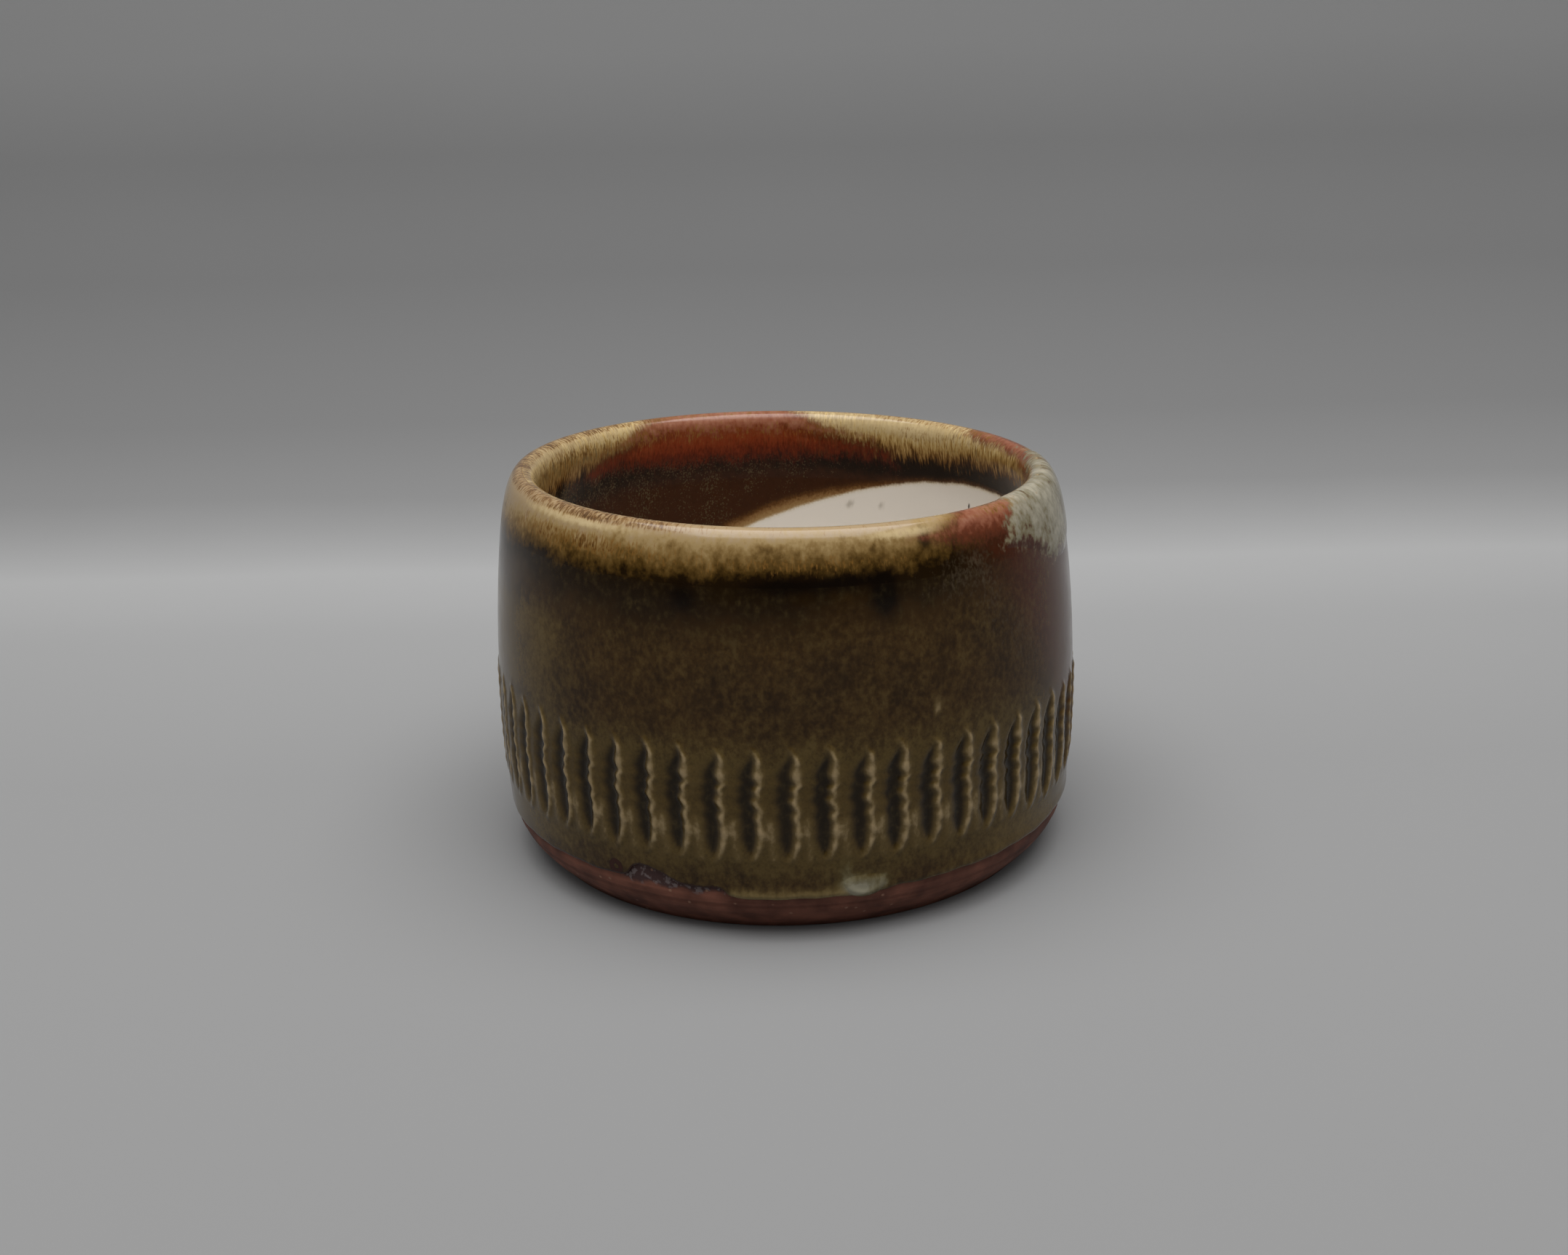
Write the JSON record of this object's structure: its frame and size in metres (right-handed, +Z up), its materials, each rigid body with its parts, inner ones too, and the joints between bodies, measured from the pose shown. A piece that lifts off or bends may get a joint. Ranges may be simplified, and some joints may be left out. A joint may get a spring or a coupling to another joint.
{
  "type": "stoneware cup",
  "caption": "Handle-less wheel-thrown stoneware cup with a bare turned foot, a band of chatter marks, brown outer glaze, ash-glazed lip and white liner.",
  "frame": {"origin": "middle of the foot ring's resting face", "axes": "+Z up along the turning axis, -Y towards the viewer of the picture, +X to the right"},
  "size_m": [0.0898, 0.0898, 0.0598],
  "materials": {
    "bare_stoneware": "unglazed red-brown stoneware, turned, dry and slightly gritty",
    "iron_glaze": "glossy olive-brown iron glaze, thin and pale on the chatter ridges",
    "ash_glaze": "glossy honey and cream ash glaze with fine runs",
    "dark_band_glaze": "glossy dark brown glaze with fine specks",
    "white_liner_glaze": "glossy warm white glaze",
    "pale_splash_glaze": "glossy pale blue-grey glaze",
    "pale_bead_glaze": "glossy pale grey-green bead"
  },
  "bodies": {
    "root": {"stoneware_body": "bare_stoneware", "outer_glaze": "iron_glaze", "rim_glaze": "ash_glaze", "inner_band_glaze": "dark_band_glaze", "liner_glaze": "white_liner_glaze", "shoulder_splash": "pale_splash_glaze", "foot_bead": "pale_bead_glaze"}
  },
  "joints": []
}
